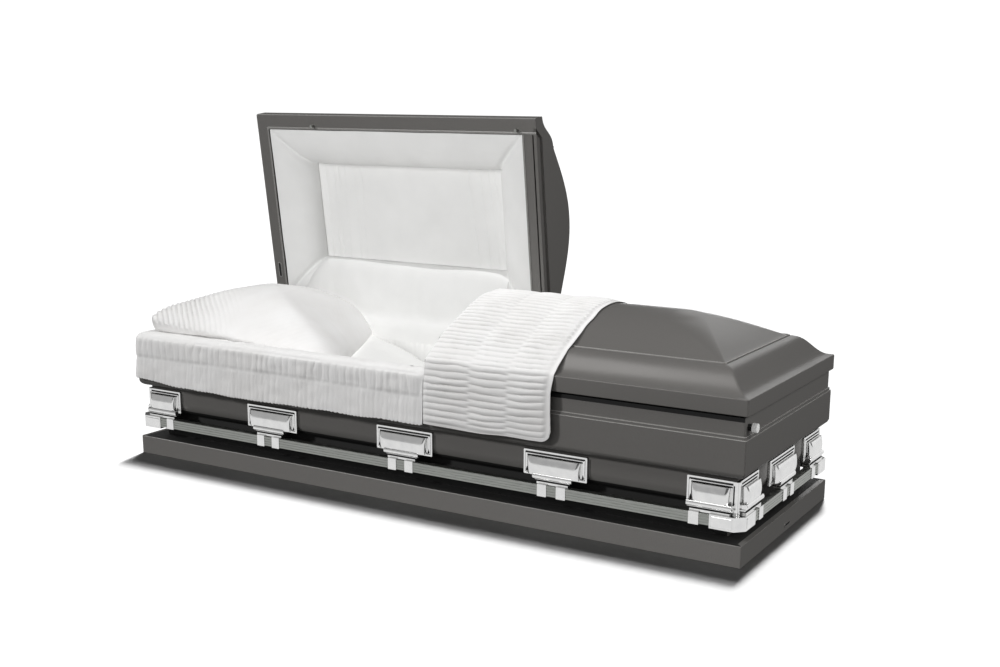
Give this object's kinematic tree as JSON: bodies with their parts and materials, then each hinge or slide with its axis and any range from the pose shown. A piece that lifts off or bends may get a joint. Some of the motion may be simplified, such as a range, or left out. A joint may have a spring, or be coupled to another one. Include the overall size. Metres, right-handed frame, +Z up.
{
  "type": "funeral casket",
  "caption": "Half-couch sheet-metal funeral casket with hinged head and foot lids, gathered cloth interior, pillow, shirred throw, and chrome lugs that carry square bars along its sides.",
  "frame": {"origin": "middle of the underside, on the floor", "axes": "+X to the foot end along the length, +Y to the hinge side, +Z up"},
  "size_m": [2.1386, 0.8802, 1.1086],
  "materials": {
    "paint": "satin metallic dark grey",
    "chrome": "bright polished plate",
    "bar": "fine brushed along the bar",
    "dark": "plain black",
    "cloth": "soft white crepe"
  },
  "bodies": {
    "casket": {"base_pan": "paint", "body_shell": "paint", "lug_front_1": "chrome", "lug_front_2": "chrome", "lug_front_3": "chrome", "lug_back_1": "chrome", "lug_back_2": "chrome", "lug_back_3": "chrome", "lug_foot": "chrome", "lug_head": "chrome", "corner_lug_front_foot": "chrome", "corner_lug_back_foot": "chrome", "corner_lug_back_head": "chrome", "corner_lug_front_head": "chrome", "bar_front": "bar", "bar_foot": "bar", "bar_back": "bar", "bar_head": "bar", "tube_neck": "dark", "tube_cap": "chrome", "hinge_head_1": "paint", "hinge_head_2": "paint", "hinge_foot_1": "paint", "hinge_foot_2": "paint", "mattress": "cloth", "body_lining": "cloth", "pillow": "cloth", "skirt": "cloth", "apron": "cloth"},
    "head_lid": {"head_lid_shell": "paint", "lid_roll": "cloth", "lid_panel": "cloth", "latch_pin_1": "chrome", "latch_pin_2": "chrome", "lid_leaf_head_1": "paint", "lid_leaf_head_2": "paint"},
    "foot_lid": {"foot_lid_shell": "paint", "throw": "cloth", "lid_leaf_foot_1": "paint", "lid_leaf_foot_2": "paint"}
  },
  "joints": [
    {"name": "head_lid_hinge", "type": "hinge", "parent": "casket", "child": "head_lid", "pos_m": [0, 0.3595, 0.3955], "axis": [1, 0, 0], "range_deg": [0, 82.5], "deforming": ["pillow", "skirt", "apron"]},
    {"name": "foot_lid_hinge", "type": "hinge", "parent": "casket", "child": "foot_lid", "pos_m": [0, 0.3595, 0.3955], "axis": [-1, 0, 0], "range_deg": [0, 82.5]}
  ]
}
